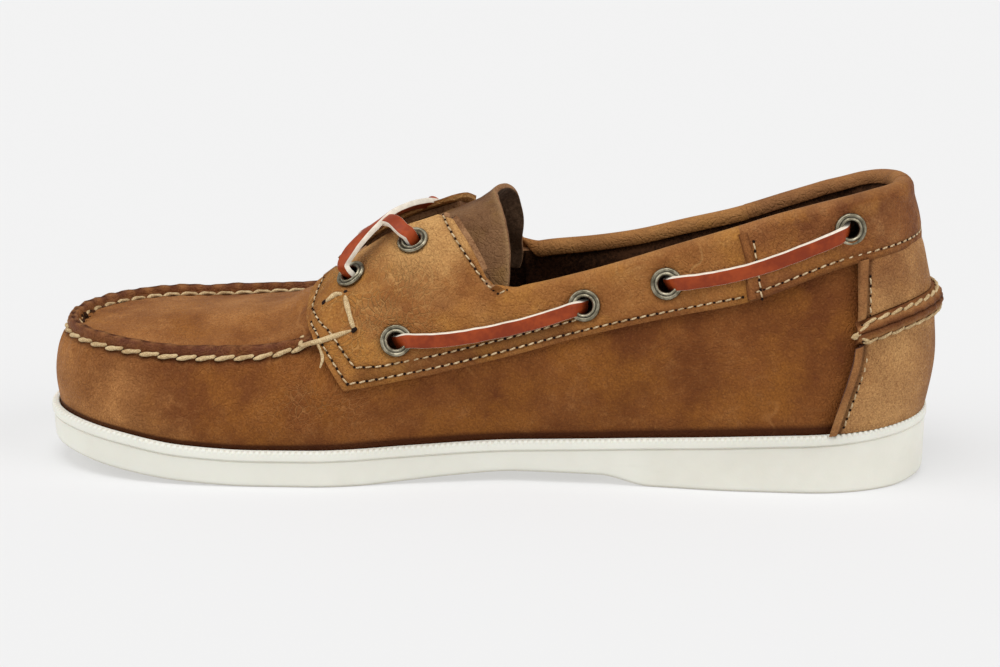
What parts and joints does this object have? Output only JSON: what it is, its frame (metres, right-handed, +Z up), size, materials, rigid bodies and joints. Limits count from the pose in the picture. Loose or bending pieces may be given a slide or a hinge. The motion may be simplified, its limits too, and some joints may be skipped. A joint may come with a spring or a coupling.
{
  "type": "boat shoe",
  "caption": "Low leather boat shoe for the right foot with a hand-sewn moccasin toe, side lacing through metal eyelets and a pale rubber sole.",
  "frame": {"origin": "on the floor, on the flat tread under the middle of the heel", "axes": "+X towards the toe, +Y towards the inner (medial) side of the foot, +Z up; the sole rests on Z = 0"},
  "size_m": [0.2962, 0.1016, 0.0987],
  "materials": {
    "upper_leather": "oiled nubuck, matt",
    "tongue_leather": "oiled nubuck, matt",
    "saddle_leather": "oiled nubuck, matt",
    "counter_leather": "oiled nubuck, darker",
    "lining_suede": "brushed suede",
    "insole_leather": "smooth lining leather",
    "sole_rubber": "off-white, satin",
    "eyelet_metal": "aged metal, satin",
    "lace_leather": "smooth rawhide, waxed"
  },
  "bodies": {
    "root": {"upper": "upper_leather", "tongue": "tongue_leather", "saddle_medial": "saddle_leather", "saddle_lateral": "saddle_leather", "collar_rear": "saddle_leather", "heel_counter_lower": "counter_leather", "heel_counter_upper": "counter_leather", "kicker_seam": "counter_leather", "collar_lining": "lining_suede", "insole": "insole_leather", "outsole": "sole_rubber", "eyelet_medial_front": "eyelet_metal", "eyelet_medial_middle_front": "eyelet_metal", "eyelet_medial_middle_rear": "eyelet_metal", "eyelet_medial_rear": "eyelet_metal", "eyelet_medial_throat_lower": "eyelet_metal", "eyelet_medial_throat_upper": "eyelet_metal", "eyelet_lateral_front": "eyelet_metal", "eyelet_lateral_middle_front": "eyelet_metal", "eyelet_lateral_middle_rear": "eyelet_metal", "eyelet_lateral_rear": "eyelet_metal", "eyelet_lateral_throat_lower": "eyelet_metal", "eyelet_lateral_throat_upper": "eyelet_metal", "lace_bar_medial_front": "lace_leather", "lace_bar_medial_rear": "lace_leather", "lace_bar_lateral_front": "lace_leather", "lace_bar_lateral_rear": "lace_leather", "lace_crossing": "lace_leather"}
  },
  "joints": []
}
